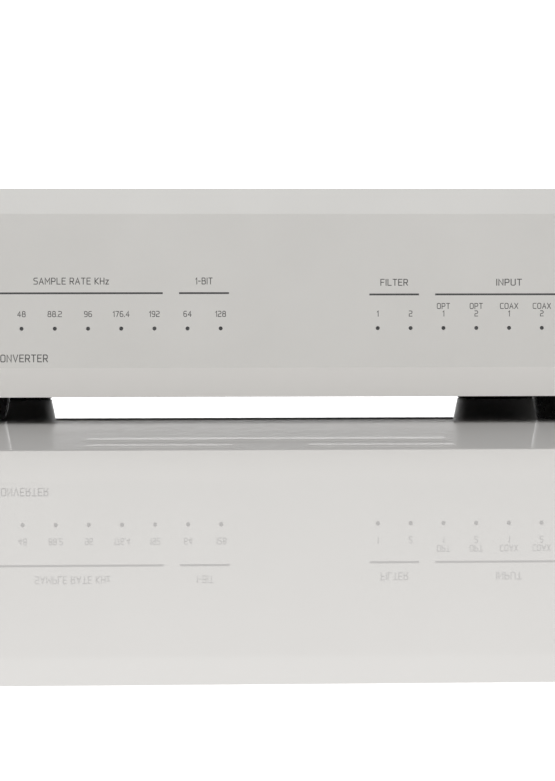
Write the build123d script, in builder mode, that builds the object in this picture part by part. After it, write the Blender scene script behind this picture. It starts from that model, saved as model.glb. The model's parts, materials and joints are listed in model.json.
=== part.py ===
from build123d import *

import os

# Desktop digital-to-analogue converter: a wide, low box with a thick bevelled front panel.
# Millimetres. The origin is the centre of the footprint on the table.
# +X is to the right of someone facing the front, +Y goes to the back, +Z is up.

os.makedirs("parts", exist_ok=True)

# ---------------------------------------------------------------- driving dimensions
WIDTH = 220.0  # front panel, end to end
HEIGHT = 53.5  # table to the top edge of the front panel
PANEL_BOTTOM = 6.1  # table to the bottom edge of the front panel
PANEL_FRONT = -106.0  # y of the front face
PANEL_THICK = 8.0
TOP_BEVEL = (1.7, 5.9)  # depth back, height down the face
BOTTOM_BEVEL = (1.9, 6.7)
SHEET = 1.2  # folded steel of the base, cover and rear panel
COVER_WIDTH = 218.0
COVER_TOP = 53.1
BASE_BOTTOM = 7.4  # underside of the base, and the height of the feet
REAR_FACE = 98.0  # outer face of the rear panel
REAR_BOTTOM = 6.9  # the rear panel reaches a little below the base
JACK_REACH = 9.0  # how far the phono jacks stand out behind the rear panel

LED_PITCH = 7.5
LED_Z = 21.7
RATE_START = -65.2  # first of the eight sample-rate lights
RATE_COUNT = 8
SELECT_START = 23.0  # first of the seven filter and input lights
SELECT_COUNT = 7
LED_HOLE = 0.45  # radius of the tiny window over each light

POWER_X = -92.0
FILTER_X = 84.0
INPUT_X = 98.0
BUTTON_RADIUS = 3.5
BUTTON_PROUD = 1.0
BUTTON_FLANGE = 4.4  # radius of the flange that keeps each button in
SLIDING_GAP = 0.1  # radial gap round each button
PLUNGER_GAP = 0.05

FOOT_X = 76.5
FOOT_Y = 79.0
FOOT_TOP_RADIUS = 14.2
FOOT_BOTTOM_RADIUS = 12.7

BOARD_THICK = 1.6
BOARD_BOTTOM = 14.6  # underside of the main board
JACK_Z = 26.0  # axis of the phono jacks
LINE_LEFT_X = -72.0
LINE_RIGHT_X = -90.0
COAX_1_X = -24.0
COAX_2_X = -42.0
OPTICAL_1_X = 14.0
OPTICAL_2_X = -4.0
USB_X = 42.0
DC_X = 90.0

# ---------------------------------------------------------------- worked-out places
PANEL_BACK = PANEL_FRONT + PANEL_THICK
COVER_HALF = COVER_WIDTH / 2
INNER_HALF = COVER_HALF - SHEET  # outer face of the base's side flanges
COVER_UNDER = COVER_TOP - SHEET
FLOOR_TOP = BASE_BOTTOM + SHEET
REAR_INNER = REAR_FACE - SHEET
BOARD_TOP = BOARD_BOTTOM + BOARD_THICK
BOARD_HALF_X = 98.0
BOARD_FRONT = -80.0
BOARD_REAR = 94.5
BUTTON_XS = (POWER_X, FILTER_X, INPUT_X)
LIGHT_XS = [RATE_START + LED_PITCH * i for i in range(RATE_COUNT)]
LIGHT_XS += [SELECT_START + LED_PITCH * i for i in range(SELECT_COUNT)]
JACK_XS = (LINE_LEFT_X, LINE_RIGHT_X, COAX_1_X, COAX_2_X)

LIGHT_SPAN = LIGHT_XS[-1] - LIGHT_XS[0]
LIGHT_MIDDLE = ((LIGHT_XS[0] + LIGHT_XS[-1]) / 2, LED_Z)
LIGHT_PLACES = [(x, LED_Z) for x in LIGHT_XS]
BUTTON_PLACES = [(x, LED_Z) for x in BUTTON_XS]
JACK_PLACES = [(x, JACK_Z) for x in JACK_XS]

# Depths inside the front panel, front to back.
LIGHT_BAR_FRONT = PANEL_FRONT + 2.6
LIGHT_BAR_THICK = 2.0
LIGHT_BAR_HEIGHT = 3.6
LIGHT_POCKET_HEIGHT = 5.0
PANEL_WEB = 2.5  # metal left in front of the light bar
BUTTON_SHOULDER = PANEL_FRONT + 3.0
DISPLAY_FRONT = PANEL_BACK + SHEET + 2.0  # front face of the display board
LED_HEIGHT = 0.9
LED_SIZE = (1.6, 1.0)
DISPLAY_SIZE = (203.0, 18.5)
DISPLAY_CENTRE = (1.5, 23.75)
SPACER_PLACES = [(x, z) for x in (-78.0, 77.0) for z in (17.2, 30.0)]

PANEL_SCREW_PLACES = ((-100, 44), (0, 44), (100, 44), (-50, 11.4), (50, 11.4))
REAR_LOW_PLACES = ((-100, 11.4), (100, 11.4))
REAR_HIGH_PLACES = ((-100, 48.4), (0, 48.4), (100, 48.4))
COVER_SCREW_PLACES = [(y, 14.0) for y in (-70.0, 0.0, 70.0)]
STANDOFF_PLACES = [(x, y) for x in (-90.0, 90.0) for y in (-62.0, 5.0)]
STANDOFF_PLACES += [(-54.0, 76.0), (58.0, 76.0)]
FOOT_PLACES = {
    "foot_front_left": (-FOOT_X, -FOOT_Y),
    "foot_front_right": (FOOT_X, -FOOT_Y),
    "foot_rear_left": (-FOOT_X, FOOT_Y),
    "foot_rear_right": (FOOT_X, FOOT_Y),
}

M3_THREAD = 1.45
M3_TAPPED = 1.5
M3_CLEAR = 1.6
M3_HEAD = (2.75, 1.9)  # radius, height of a pan head
M4_THREAD = 1.95
M4_CLEAR = 2.0
M4_HEAD = (3.5, 2.2)
SPIGOT_RADIUS = 2.45  # foot of each board standoff, swaged into the floor


def upright(y):
    """Plane facing the front at depth y: its own x and y are the model's X and Z."""
    return Plane.XZ.offset(-y)


def level(z):
    """Horizontal plane at height z."""
    return Plane.XY.offset(z)


def cross_recess(plane, places, reach=1.3):
    """Cut a cross for the screwdriver into screw heads that face along the plane's normal."""
    with BuildSketch(plane) as recess:
        with Locations(*places):
            Rectangle(2.6, 0.6)
            Rectangle(0.6, 2.6)
    extrude(recess.sketch, amount=-reach, mode=Mode.SUBTRACT)


# ================================================================ casing
with BuildPart() as front_panel:
    # Flat face between a bevel along the top and a bevel along the bottom.
    with BuildSketch(Plane.YZ):
        with BuildLine():
            Polyline(
                (PANEL_BACK, PANEL_BOTTOM),
                (PANEL_FRONT + BOTTOM_BEVEL[0], PANEL_BOTTOM),
                (PANEL_FRONT, PANEL_BOTTOM + BOTTOM_BEVEL[1]),
                (PANEL_FRONT, HEIGHT - TOP_BEVEL[1]),
                (PANEL_FRONT + TOP_BEVEL[0], HEIGHT),
                (PANEL_BACK, HEIGHT),
                close=True,
            )
        make_face()
    extrude(amount=WIDTH / 2, both=True)
    fillet(front_panel.edges().filter_by(Axis.X).group_by(Axis.Y)[0], radius=0.6)
    front_ends = front_panel.edges().filter_by(GeomType.LINE).filter_by(Axis.X, reverse=True)
    chamfer(front_ends.filter_by(lambda e: e.center().Y < PANEL_BACK - 1), length=0.4)
    # Pocket for the light bar, cut from behind.
    with BuildSketch(upright(PANEL_BACK)):
        with Locations(LIGHT_MIDDLE):
            Rectangle(LIGHT_SPAN + 8.0, LIGHT_POCKET_HEIGHT)
        fillet(vertices(), radius=1.0)
    extrude(amount=PANEL_THICK - PANEL_WEB, mode=Mode.SUBTRACT)
    # Counterbores behind the buttons.
    with BuildSketch(upright(PANEL_BACK)):
        with Locations(*BUTTON_PLACES):
            Circle(BUTTON_FLANGE + 0.5)
    extrude(amount=PANEL_BACK - BUTTON_SHOULDER, mode=Mode.SUBTRACT)
    # Button holes and light windows go right through.
    with BuildSketch(upright(PANEL_BACK)):
        with Locations(*BUTTON_PLACES):
            Circle(BUTTON_RADIUS + SLIDING_GAP)
        with Locations(*LIGHT_PLACES):
            Circle(LED_HOLE)
    extrude(amount=PANEL_THICK, mode=Mode.SUBTRACT)
    # Tapped blind holes for the screws that hold the panel.
    with BuildSketch(upright(PANEL_BACK)):
        with Locations(*PANEL_SCREW_PLACES):
            Circle(M3_TAPPED)
    extrude(amount=5.5, mode=Mode.SUBTRACT)
front_panel.part.label = "front_panel"
export_step(front_panel.part, "parts/front_panel.step")

FRONT_WALL_TOP = COVER_UNDER - 0.5
SIDE_FLANGE = (180.0, 11.0)  # length, height above the floor
REAR_FLANGE = (208.0, 5.6)
SWITCH_WINDOW = 8.0

with BuildPart() as base_tray:
    # Floor, full-height front wall, low side flanges and a low rear flange.
    with BuildSketch(level(BASE_BOTTOM)):
        with Locations((0, (PANEL_BACK + REAR_INNER) / 2)):
            Rectangle(2 * INNER_HALF, REAR_INNER - PANEL_BACK)
    extrude(amount=SHEET)
    with BuildSketch(upright(PANEL_BACK)):
        with Locations((0, (BASE_BOTTOM + FRONT_WALL_TOP) / 2)):
            Rectangle(2 * INNER_HALF, FRONT_WALL_TOP - BASE_BOTTOM)
    extrude(amount=-SHEET)
    for side in (-1, 1):
        with BuildSketch(level(FLOOR_TOP)):
            with Locations((side * (INNER_HALF - SHEET / 2), 0)):
                Rectangle(SHEET, SIDE_FLANGE[0])
        extrude(amount=SIDE_FLANGE[1])
    with BuildSketch(level(FLOOR_TOP)):
        with Locations((0, REAR_INNER - SHEET / 2)):
            Rectangle(REAR_FLANGE[0], SHEET)
    extrude(amount=REAR_FLANGE[1])
    # Window for the light bar, and one for each switch, through the front wall.
    with BuildSketch(upright(PANEL_BACK)):
        with Locations(LIGHT_MIDDLE):
            Rectangle(LIGHT_SPAN + 7.0, 4.4)
        with Locations(*BUTTON_PLACES):
            Rectangle(SWITCH_WINDOW, SWITCH_WINDOW)
        with Locations(*PANEL_SCREW_PLACES):
            Circle(M3_CLEAR)
        with Locations(*SPACER_PLACES):
            Circle(M3_TAPPED)
    extrude(amount=-SHEET, mode=Mode.SUBTRACT)
    # Screw holes in the floor for the feet, and round holes that hold the standoffs.
    with BuildSketch(level(BASE_BOTTOM)):
        with Locations(*FOOT_PLACES.values()):
            Circle(M4_CLEAR)
        with Locations(*STANDOFF_PLACES):
            Circle(SPIGOT_RADIUS + 0.05)
    extrude(amount=SHEET, mode=Mode.SUBTRACT)
    # Tapped holes in the side flanges and the rear flange.
    with BuildSketch(Plane.YZ.offset(-COVER_HALF)):
        with Locations(*COVER_SCREW_PLACES):
            Circle(M3_TAPPED)
    extrude(amount=COVER_WIDTH, mode=Mode.SUBTRACT)
    with BuildSketch(upright(REAR_INNER)):
        with Locations(*REAR_LOW_PLACES):
            Circle(M3_TAPPED)
    extrude(amount=SHEET, mode=Mode.SUBTRACT)
base_tray.part.label = "base_tray"
export_step(base_tray.part, "parts/base_tray.step")

STRIP_THICK = 0.5
STRIPS = (
    # x from, x to, y of the middle, width
    (-45.5, -9.5, -64.5, 9.0),
    (9.5, 45.5, -64.5, 9.0),
    (-47.0, 47.0, -33.6, 11.0),
)

with BuildPart() as floor_strips:
    # Flat strips spot-welded under the floor to stiffen it between the front feet.
    for x_from, x_to, strip_y, strip_width in STRIPS:
        with BuildSketch(level(BASE_BOTTOM - STRIP_THICK)):
            with Locations(((x_from + x_to) / 2, strip_y)):
                RectangleRounded(x_to - x_from, strip_width, 1.5)
        extrude(amount=STRIP_THICK)
    chamfer(floor_strips.edges().group_by(Axis.Z)[0], length=0.15)
floor_strips.part.label = "floor_strips"
export_step(floor_strips.part, "parts/floor_strips.step")

COVER_FRONT = PANEL_BACK + 0.2
COVER_LIP = (208.0, 7.2)  # width, height
CSK_RADIUS = M3_THREAD + SHEET  # a flat head is as deep as the cover's sheet

with BuildPart() as top_cover:
    # One sheet folded down at both sides.
    with BuildSketch(upright(REAR_INNER)):
        with Locations((0, (BASE_BOTTOM + COVER_TOP) / 2)):
            Rectangle(COVER_WIDTH, COVER_TOP - BASE_BOTTOM)
        fillet(vertices().group_by(Axis.Y)[-1], radius=1.8)
    extrude(amount=REAR_INNER - COVER_FRONT)
    with BuildSketch(upright(REAR_INNER)):
        with Locations((0, (BASE_BOTTOM + COVER_UNDER) / 2 - 1)):
            Rectangle(2 * INNER_HALF, COVER_UNDER - BASE_BOTTOM + 2)
        fillet(vertices().group_by(Axis.Y)[-1], radius=0.6)
    extrude(amount=REAR_INNER - COVER_FRONT, mode=Mode.SUBTRACT)
    # Down-turned lip at the back that the rear panel screws to.
    with BuildSketch(upright(REAR_INNER)):
        with Locations((0, COVER_UNDER - COVER_LIP[1] / 2)):
            Rectangle(*COVER_LIP)
    extrude(amount=SHEET)
    with BuildSketch(upright(REAR_INNER)):
        with Locations(*REAR_HIGH_PLACES):
            Circle(M3_TAPPED)
    extrude(amount=SHEET, mode=Mode.SUBTRACT)
    # Countersunk holes in both sides.
    for side in (-1, 1):
        for hole_y, hole_z in COVER_SCREW_PLACES:
            outside = Plane(
                origin=(side * COVER_HALF, hole_y, hole_z), x_dir=(0, 1, 0), z_dir=(side, 0, 0)
            )
            with Locations(outside):
                CounterSinkHole(M3_CLEAR, CSK_RADIUS + 0.05, depth=2 * SHEET)
top_cover.part.label = "top_cover"
export_step(top_cover.part, "parts/top_cover.step")

RING_BARREL = 5.5  # radius of the insulating ring where it passes through the rear panel
OPTICAL_SIZE = (12.0, 13.8)
OPTICAL_Z = BOARD_TOP + OPTICAL_SIZE[1] / 2
USB_SIZE = (12.0, 11.0)
USB_Z = BOARD_TOP + USB_SIZE[1] / 2
DC_SIZE = (9.0, 11.0)
DC_Z = BOARD_TOP + DC_SIZE[1] / 2
SOCKET_GAP = 0.2  # gap between each socket and its cut-out

with BuildPart() as rear_panel:
    with BuildSketch(upright(REAR_FACE)):
        with Locations((0, (REAR_BOTTOM + COVER_TOP) / 2)):
            Rectangle(COVER_WIDTH, COVER_TOP - REAR_BOTTOM)
        fillet(vertices(), radius=1.2)
    extrude(amount=SHEET)
    with BuildSketch(upright(REAR_FACE)):
        with Locations(*JACK_PLACES):
            Circle(RING_BARREL + 0.05)
        with Locations((OPTICAL_1_X, OPTICAL_Z), (OPTICAL_2_X, OPTICAL_Z)):
            Rectangle(OPTICAL_SIZE[0] + 2 * SOCKET_GAP, OPTICAL_SIZE[1] + 2 * SOCKET_GAP)
        with Locations((USB_X, USB_Z)):
            Rectangle(USB_SIZE[0] + 2 * SOCKET_GAP, USB_SIZE[1] + 2 * SOCKET_GAP)
        with Locations((DC_X, DC_Z)):
            Rectangle(DC_SIZE[0] + 2 * SOCKET_GAP, DC_SIZE[1] + 2 * SOCKET_GAP)
        with Locations(*REAR_LOW_PLACES, *REAR_HIGH_PLACES):
            Circle(M3_CLEAR)
    extrude(amount=SHEET, mode=Mode.SUBTRACT)
rear_panel.part.label = "rear_panel"
export_step(rear_panel.part, "parts/rear_panel.step")

# ================================================================ feet
FOOT_RECESS = (5.0, 3.6)  # radius, depth of the recess round the screw head
FOOT_BORE = 2.2
WASHER_RADIUS = 4.5
WASHER_THICK = 0.8

for foot_name, (foot_x, foot_y) in FOOT_PLACES.items():
    with BuildPart() as foot:
        # A disc that narrows towards the table, recessed underneath for its screw.
        with BuildSketch(level(0)):
            with Locations((foot_x, foot_y)):
                Circle(FOOT_BOTTOM_RADIUS)
        with BuildSketch(level(BASE_BOTTOM)):
            with Locations((foot_x, foot_y)):
                Circle(FOOT_TOP_RADIUS)
        loft()
        fillet(foot.edges().group_by(Axis.Z)[0], radius=0.7)
        with Locations(Location((foot_x, foot_y, 0), (180, 0, 0))):
            CounterBoreHole(FOOT_BORE, FOOT_RECESS[0], FOOT_RECESS[1], depth=BASE_BOTTOM)
    foot.part.label = foot_name
    export_step(foot.part, f"parts/{foot_name}.step")

with BuildPart() as foot_washers:
    with BuildSketch(level(FOOT_RECESS[1])):
        with Locations(*FOOT_PLACES.values()):
            Circle(WASHER_RADIUS)
            Circle(FOOT_BORE, mode=Mode.SUBTRACT)
    extrude(amount=-WASHER_THICK)
foot_washers.part.label = "foot_washers"
export_step(foot_washers.part, "parts/foot_washers.step")

FOOT_HEAD_TOP = FOOT_RECESS[1] - WASHER_THICK
FOOT_SCREW_END = 12.0

with BuildPart() as foot_screws:
    with BuildSketch(level(FOOT_HEAD_TOP)):
        with Locations(*FOOT_PLACES.values()):
            Circle(M4_HEAD[0])
    extrude(amount=-M4_HEAD[1])
    fillet(foot_screws.edges().group_by(Axis.Z)[0], radius=0.8)
    with BuildSketch(level(FOOT_HEAD_TOP)):
        with Locations(*FOOT_PLACES.values()):
            Circle(M4_THREAD)
    extrude(amount=FOOT_SCREW_END - FOOT_HEAD_TOP)
    cross_recess(
        Plane(origin=(0, 0, FOOT_HEAD_TOP - M4_HEAD[1]), x_dir=(1, 0, 0), z_dir=(0, 0, -1)),
        [(x, -y) for x, y in FOOT_PLACES.values()],
    )
foot_screws.part.label = "foot_screws"
export_step(foot_screws.part, "parts/foot_screws.step")

# ================================================================ screws of the casing
with BuildPart() as cover_screws:
    # Flat heads that finish flush with the cover's sides.
    for side in (-1, 1):
        for hole_y, hole_z in COVER_SCREW_PLACES:
            outside = Plane(
                origin=(side * COVER_HALF, hole_y, hole_z), x_dir=(0, 1, 0), z_dir=(side, 0, 0)
            )
            with BuildSketch(outside):
                Circle(CSK_RADIUS)
            extrude(amount=-(CSK_RADIUS - M3_THREAD), taper=45)
            with BuildSketch(outside):
                Circle(M3_THREAD)
            extrude(amount=-6.0)
            cross_recess(outside, [(0, 0)], reach=0.9)
cover_screws.part.label = "cover_screws"
export_step(cover_screws.part, "parts/cover_screws.step")

REAR_SCREW_PLACES = [*REAR_LOW_PLACES, *REAR_HIGH_PLACES]

with BuildPart() as rear_panel_screws:
    with BuildSketch(upright(REAR_FACE)):
        with Locations(*REAR_SCREW_PLACES):
            Circle(M3_HEAD[0])
    extrude(amount=-M3_HEAD[1])
    fillet(rear_panel_screws.edges().group_by(Axis.Y)[-1], radius=0.9)
    with BuildSketch(upright(REAR_FACE)):
        with Locations(*REAR_SCREW_PLACES):
            Circle(M3_THREAD)
    extrude(amount=5.0)
    cross_recess(
        Plane(origin=(0, REAR_FACE + M3_HEAD[1], 0), x_dir=(-1, 0, 0), z_dir=(0, 1, 0)),
        [(-x, z) for x, z in REAR_SCREW_PLACES],
    )
rear_panel_screws.part.label = "rear_panel_screws"
export_step(rear_panel_screws.part, "parts/rear_panel_screws.step")

WALL_INNER = PANEL_BACK + SHEET

with BuildPart() as panel_screws:
    with BuildSketch(upright(WALL_INNER)):
        with Locations(*PANEL_SCREW_PLACES):
            Circle(M3_HEAD[0])
    extrude(amount=-M3_HEAD[1])
    fillet(panel_screws.edges().group_by(Axis.Y)[-1], radius=0.9)
    with BuildSketch(upright(WALL_INNER)):
        with Locations(*PANEL_SCREW_PLACES):
            Circle(M3_THREAD)
    extrude(amount=6.0)
panel_screws.part.label = "panel_screws"
export_step(panel_screws.part, "parts/panel_screws.step")

# ================================================================ front electronics
with BuildPart() as display_board:
    with BuildSketch(upright(DISPLAY_FRONT)):
        with Locations(DISPLAY_CENTRE):
            Rectangle(*DISPLAY_SIZE)
        fillet(vertices(), radius=1.0)
        with Locations(*SPACER_PLACES):
            Circle(M3_CLEAR, mode=Mode.SUBTRACT)
    extrude(amount=-BOARD_THICK)
display_board.part.label = "display_board"
export_step(display_board.part, "parts/display_board.step")

with BuildPart() as display_spacers:
    with BuildSketch(upright(WALL_INNER)):
        with Locations(*SPACER_PLACES):
            Circle(2.5)
            Circle(M3_CLEAR, mode=Mode.SUBTRACT)
    extrude(amount=-(DISPLAY_FRONT - WALL_INNER))
display_spacers.part.label = "display_spacers"
export_step(display_spacers.part, "parts/display_spacers.step")

DISPLAY_BACK = DISPLAY_FRONT + BOARD_THICK

with BuildPart() as display_screws:
    with BuildSketch(upright(DISPLAY_BACK)):
        with Locations(*SPACER_PLACES):
            Circle(M3_HEAD[0])
    extrude(amount=-M3_HEAD[1])
    fillet(display_screws.edges().group_by(Axis.Y)[-1], radius=0.9)
    with BuildSketch(upright(DISPLAY_BACK)):
        with Locations(*SPACER_PLACES):
            Circle(M3_THREAD)
    extrude(amount=DISPLAY_BACK - PANEL_BACK - 0.1)
display_screws.part.label = "display_screws"
export_step(display_screws.part, "parts/display_screws.step")

with BuildPart() as indicator_leds:
    with BuildSketch(upright(DISPLAY_FRONT)):
        with Locations(*LIGHT_PLACES):
            Rectangle(*LED_SIZE)
    extrude(amount=LED_HEIGHT)
indicator_leds.part.label = "indicator_leds"
export_step(indicator_leds.part, "parts/indicator_leds.step")

LIGHT_PIN = LED_HOLE - 0.05
LIGHT_PIPE = 1.0  # radius
LIGHT_BAR_BACK = LIGHT_BAR_FRONT + LIGHT_BAR_THICK

with BuildPart() as light_guide:
    # One clear bar with a thin pin in each window and a thicker pipe back to each light.
    with BuildSketch(upright(LIGHT_BAR_BACK)):
        with Locations(LIGHT_MIDDLE):
            Rectangle(LIGHT_SPAN + 5.0, LIGHT_BAR_HEIGHT)
        fillet(vertices(), radius=1.0)
    extrude(amount=LIGHT_BAR_THICK)
    with BuildSketch(upright(LIGHT_BAR_FRONT)):
        with Locations(*LIGHT_PLACES):
            Circle(LIGHT_PIN)
    extrude(amount=LIGHT_BAR_FRONT - PANEL_FRONT - 0.3)
    with BuildSketch(upright(LIGHT_BAR_BACK)):
        with Locations(*LIGHT_PLACES):
            Circle(LIGHT_PIPE)
    extrude(amount=-(DISPLAY_FRONT - LED_HEIGHT - 0.2 - LIGHT_BAR_BACK))
light_guide.part.label = "light_guide"
export_step(light_guide.part, "parts/light_guide.step")

# ================================================================ buttons and switches
SWITCH_DEPTH = 3.2
SWITCH_SIDE = 6.2
SWITCH_BORE_DEPTH = 2.0
SWITCH_FACE = DISPLAY_FRONT - SWITCH_DEPTH
PLUNGER_RADIUS = 1.7
PLUNGER_TIP = SWITCH_FACE - 1.5
PLUNGER_END = SWITCH_FACE + 0.9
STEM_RADIUS = 1.8
FLANGE_THICK = 1.0
FLANGE_FRONT = BUTTON_SHOULDER + 0.05

with BuildPart() as button_switches:
    # Three push switches, each with a blind bore for its plunger.
    with BuildSketch(upright(DISPLAY_FRONT)):
        with Locations(*BUTTON_PLACES):
            Rectangle(SWITCH_SIDE, SWITCH_SIDE)
    extrude(amount=SWITCH_DEPTH)
    chamfer(button_switches.edges().filter_by(Axis.Y), length=0.4)
    with BuildSketch(upright(SWITCH_FACE)):
        with Locations(*BUTTON_PLACES):
            Circle(PLUNGER_RADIUS + PLUNGER_GAP)
    extrude(amount=-SWITCH_BORE_DEPTH, mode=Mode.SUBTRACT)
button_switches.part.label = "button_switches"
export_step(button_switches.part, "parts/button_switches.step")

for button_name, button_x in (("power", POWER_X), ("filter", FILTER_X), ("input", INPUT_X)):
    with BuildPart() as plunger:
        with BuildSketch(upright(PLUNGER_END)):
            with Locations((button_x, LED_Z)):
                Circle(PLUNGER_RADIUS)
        extrude(amount=PLUNGER_END - PLUNGER_TIP)
    plunger.part.label = f"{button_name}_plunger"
    export_step(plunger.part, f"parts/{button_name}_plunger.step")

    with BuildPart() as button:
        # Cap, retaining flange and stem in one turned piece.
        with BuildSketch(upright(FLANGE_FRONT)):
            with Locations((button_x, LED_Z)):
                Circle(BUTTON_RADIUS)
        extrude(amount=FLANGE_FRONT - PANEL_FRONT + BUTTON_PROUD)
        chamfer(button.edges().group_by(Axis.Y)[0], length=0.3)
        with BuildSketch(upright(FLANGE_FRONT)):
            with Locations((button_x, LED_Z)):
                Circle(BUTTON_FLANGE)
        extrude(amount=-FLANGE_THICK)
        with BuildSketch(upright(FLANGE_FRONT)):
            with Locations((button_x, LED_Z)):
                Circle(STEM_RADIUS)
        extrude(amount=-(PLUNGER_TIP - FLANGE_FRONT))
    button.part.label = f"{button_name}_button"
    export_step(button.part, f"parts/{button_name}_button.step")

# ================================================================ main board
with BuildPart() as main_board:
    with BuildSketch(level(BOARD_BOTTOM)):
        with Locations((0, (BOARD_FRONT + BOARD_REAR) / 2)):
            Rectangle(2 * BOARD_HALF_X, BOARD_REAR - BOARD_FRONT)
        fillet(vertices(), radius=2.0)
        with Locations(*STANDOFF_PLACES):
            Circle(M3_CLEAR, mode=Mode.SUBTRACT)
    extrude(amount=BOARD_THICK)
main_board.part.label = "main_board"
export_step(main_board.part, "parts/main_board.step")

STANDOFF_RADIUS = 3.2

with BuildPart() as board_standoffs:
    # Tapped pillars, each with a spigot swaged into the floor.
    with BuildSketch(level(FLOOR_TOP)):
        with Locations(*STANDOFF_PLACES):
            RegularPolygon(STANDOFF_RADIUS, 6)
    extrude(amount=BOARD_BOTTOM - FLOOR_TOP)
    with BuildSketch(level(FLOOR_TOP)):
        with Locations(*STANDOFF_PLACES):
            Circle(SPIGOT_RADIUS)
    extrude(amount=-SHEET)
    with BuildSketch(level(BASE_BOTTOM)):
        with Locations(*STANDOFF_PLACES):
            Circle(M3_TAPPED)
    extrude(amount=BOARD_BOTTOM - BASE_BOTTOM, mode=Mode.SUBTRACT)
board_standoffs.part.label = "board_standoffs"
export_step(board_standoffs.part, "parts/board_standoffs.step")

with BuildPart() as board_screws:
    with BuildSketch(level(BOARD_TOP)):
        with Locations(*STANDOFF_PLACES):
            Circle(M3_HEAD[0])
    extrude(amount=M3_HEAD[1])
    fillet(board_screws.edges().group_by(Axis.Z)[-1], radius=0.9)
    with BuildSketch(level(BOARD_TOP)):
        with Locations(*STANDOFF_PLACES):
            Circle(M3_THREAD)
    extrude(amount=-6.0)
    cross_recess(level(BOARD_TOP + M3_HEAD[1]), STANDOFF_PLACES)
board_screws.part.label = "board_screws"
export_step(board_screws.part, "parts/board_screws.step")

# ---------------------------------------------------------------- parts on the board
CHIPS = (
    # x, y, size x, size y, height
    (44.0, 58.0, 14.0, 14.0, 1.4),  # computer-link receiver
    (4.0, 58.0, 7.0, 7.0, 1.0),  # digital-input receiver
    (-24.0, 18.0, 10.0, 6.0, 1.8),  # converter
    (0.0, -40.0, 10.0, 10.0, 1.4),  # controller
    (-66.0, 50.0, 5.0, 4.0, 1.6),  # amplifiers, one pair per channel
    (-80.0, 50.0, 5.0, 4.0, 1.6),
    (-66.0, 36.0, 5.0, 4.0, 1.6),
    (-80.0, 36.0, 5.0, 4.0, 1.6),
)

with BuildPart() as signal_chips:
    for chip_x, chip_y, chip_w, chip_d, chip_h in CHIPS:
        with BuildSketch(level(BOARD_TOP)):
            with Locations((chip_x, chip_y)):
                Rectangle(chip_w, chip_d)
        extrude(amount=chip_h)
signal_chips.part.label = "signal_chips"
export_step(signal_chips.part, "parts/signal_chips.step")

CAPACITORS = [
    # x, y, radius, height
    *[(x, -20.0, 5.0, 20.0) for x in (40.0, 52.0, 64.0, 76.0)],
    *[(x, -2.0, 4.0, 12.0) for x in (-76.0, -66.0, -56.0, -46.0)],
    *[(x, 14.0, 3.15, 11.0) for x in (-76.0, -66.0, -56.0, -46.0)],
    *[(x, 34.0, 3.15, 11.0) for x in (26.0, 36.0, 46.0, 56.0)],
]

with BuildPart() as filter_capacitors:
    for cap_x, cap_y, cap_radius, cap_height in CAPACITORS:
        with BuildSketch(level(BOARD_TOP)):
            with Locations((cap_x, cap_y)):
                Circle(cap_radius)
        extrude(amount=cap_height)
    fillet(filter_capacitors.edges().filter_by(GeomType.CIRCLE), radius=0.5)
filter_capacitors.part.label = "filter_capacitors"
export_step(filter_capacitors.part, "parts/filter_capacitors.step")

FILM_SIZE = (7.2, 4.0, 8.0)

with BuildPart() as film_capacitors:
    with BuildSketch(level(BOARD_TOP)):
        with Locations((-73.0, 58.5)):
            with GridLocations(14.0, 7.5, 2, 2):
                Rectangle(FILM_SIZE[0], FILM_SIZE[1])
    extrude(amount=FILM_SIZE[2])
    fillet(film_capacitors.edges().filter_by(Axis.Z), radius=0.4)
film_capacitors.part.label = "film_capacitors"
export_step(film_capacitors.part, "parts/film_capacitors.step")

CLOCK_SIZE = (7.0, 5.0, 1.8)
CLOCK_PLACES = ((24.0, 60.0), (24.0, 50.0))

with BuildPart() as clock_oscillators:
    with BuildSketch(level(BOARD_TOP)):
        with Locations(*CLOCK_PLACES):
            Rectangle(CLOCK_SIZE[0], CLOCK_SIZE[1])
    extrude(amount=CLOCK_SIZE[2])
    fillet(clock_oscillators.edges().group_by(Axis.Z)[-1], radius=0.3)
clock_oscillators.part.label = "clock_oscillators"
export_step(clock_oscillators.part, "parts/clock_oscillators.step")

HEATSINK_X = 80.0
HEATSINK_Y = 26.0
REGULATOR_YS = (HEATSINK_Y - 8.0, HEATSINK_Y + 8.0)
TAB_SCREW = 1.2  # thread radius of the screw through each tab
REGULATOR_WIDTH = 10.0
LEG_PITCH = 2.54
TAB_FACE = HEATSINK_X - 3.0  # flat face of the heatsink that the regulators lie against
HEATSINK_BACK = (2.5, 36.0)  # thickness, length
HEATSINK_FIN = (9.6, 1.4)
HEATSINK_HEIGHT = 20.0
TAB_THICK = 1.3
TAB_HOLE_Z = BOARD_TOP + 15.2

with BuildPart() as regulator_heatsink:
    # Extruded comb: a flat back with seven fins.
    with BuildSketch(level(BOARD_TOP + 0.2)):
        with Locations((TAB_FACE + HEATSINK_BACK[0] / 2, HEATSINK_Y)):
            Rectangle(*HEATSINK_BACK)
        with Locations((TAB_FACE + 7.0, HEATSINK_Y)):
            with GridLocations(0, 5.6, 1, 7):
                Rectangle(*HEATSINK_FIN)
    extrude(amount=HEATSINK_HEIGHT)
    with BuildSketch(Plane.YZ.offset(TAB_FACE)):
        with Locations(*[(y, TAB_HOLE_Z) for y in REGULATOR_YS]):
            Circle(TAB_SCREW + 0.1)
    extrude(amount=HEATSINK_BACK[0], mode=Mode.SUBTRACT)
regulator_heatsink.part.label = "regulator_heatsink"
export_step(regulator_heatsink.part, "parts/regulator_heatsink.step")

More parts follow.
